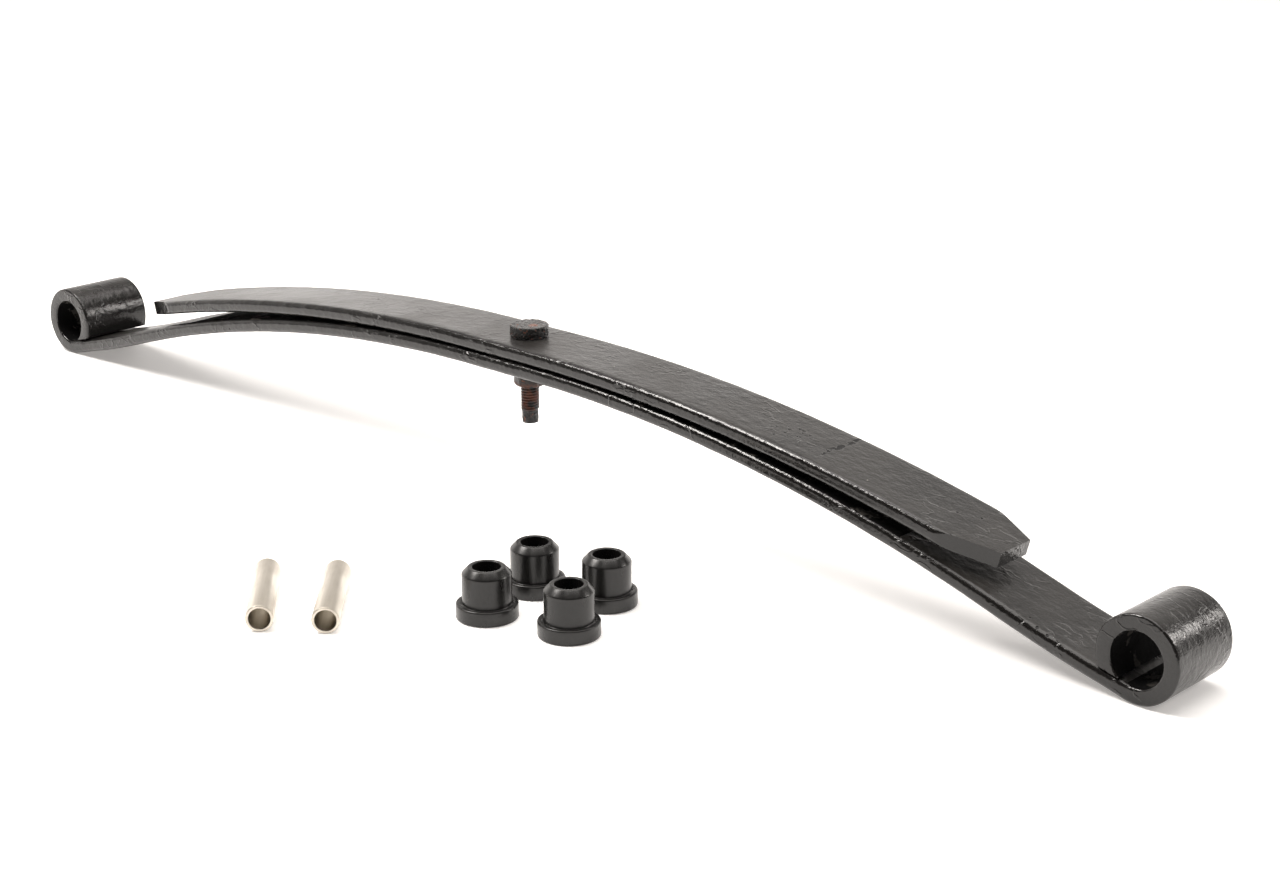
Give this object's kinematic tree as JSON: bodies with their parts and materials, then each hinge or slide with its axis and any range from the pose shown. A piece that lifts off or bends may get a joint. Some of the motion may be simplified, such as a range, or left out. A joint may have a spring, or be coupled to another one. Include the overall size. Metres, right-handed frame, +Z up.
{
  "type": "leaf spring",
  "caption": "Arched suspension spring with a rolled eye at each end, a shorter helper leaf on a centre bolt, and loose flanged bushings and sleeves for the eyes.",
  "frame": {"origin": "centre of the footprint of the spring and its loose pieces, on the surface they stand on", "axes": "+X along the spring to its front eye, +Y across the leaves away from the loose pieces, +Z up, with the arch's crown up"},
  "size_m": [0.8092, 0.2491, 0.0886],
  "materials": {
    "leaf_paint": "semi-gloss black paint over rolled steel",
    "bolt_paint": "rough black paint with specks of rust",
    "bushing": "smooth satin black",
    "sleeve": "bright plated"
  },
  "bodies": {
    "seat": {"main_leaf_centre": "leaf_paint", "helper_leaf_centre": "leaf_paint", "centre_bolt": "bolt_paint", "centre_nut": "bolt_paint"},
    "main_front": {"main_leaf_front": "leaf_paint"},
    "main_rear": {"main_leaf_rear": "leaf_paint"},
    "helper_front": {"helper_leaf_front": "leaf_paint"},
    "helper_rear": {"helper_leaf_rear": "leaf_paint"},
    "bushing_1": {"eye_bushing_1": "bushing"},
    "bushing_2": {"eye_bushing_2": "bushing"},
    "bushing_3": {"eye_bushing_3": "bushing"},
    "bushing_4": {"eye_bushing_4": "bushing"},
    "sleeve_1": {"eye_sleeve_1": "sleeve"},
    "sleeve_2": {"eye_sleeve_2": "sleeve"}
  },
  "joints": [
    {"name": "main_front_flex", "type": "hinge", "parent": "seat", "child": "main_front", "pos_m": [0.07545, 0.10228, 0.06832], "axis": [0, -1, 0], "range_deg": [0, 8.5], "stiffness_Nm_per_rad": 2325},
    {"name": "helper_front_flex", "type": "hinge", "parent": "seat", "child": "helper_front", "pos_m": [0.06437, 0.10228, 0.07727], "axis": [0, -1, 0], "range_deg": [0, 6.65], "stiffness_Nm_per_rad": 2925},
    {"name": "main_rear_flex", "type": "hinge", "parent": "seat", "child": "main_rear", "pos_m": [-0.07545, 0.10228, 0.06832], "axis": [0, 1, 0], "range_deg": [0, 8.5], "stiffness_Nm_per_rad": 2325},
    {"name": "helper_rear_flex", "type": "hinge", "parent": "seat", "child": "helper_rear", "pos_m": [-0.06437, 0.10228, 0.07727], "axis": [0, 1, 0], "range_deg": [0, 6.65], "stiffness_Nm_per_rad": 2925},
    {"name": "bushing_1_lift", "type": "slide", "parent": "seat", "child": "bushing_1", "axis": [0, 0, 1], "range_m": [0, 0.05]},
    {"name": "bushing_2_lift", "type": "slide", "parent": "seat", "child": "bushing_2", "axis": [0, 0, 1], "range_m": [0, 0.05]},
    {"name": "bushing_3_lift", "type": "slide", "parent": "seat", "child": "bushing_3", "axis": [0, 0, 1], "range_m": [0, 0.05]},
    {"name": "bushing_4_lift", "type": "slide", "parent": "seat", "child": "bushing_4", "axis": [0, 0, 1], "range_m": [0, 0.05]},
    {"name": "sleeve_1_lift", "type": "slide", "parent": "seat", "child": "sleeve_1", "axis": [0, 0, 1], "range_m": [0, 0.05]},
    {"name": "sleeve_2_lift", "type": "slide", "parent": "seat", "child": "sleeve_2", "axis": [0, 0, 1], "range_m": [0, 0.05]}
  ],
  "couplings": [
    {"joint": "helper_front_flex", "follows": "main_front_flex", "ratio": 0.78},
    {"joint": "helper_rear_flex", "follows": "main_rear_flex", "ratio": 0.78}
  ]
}
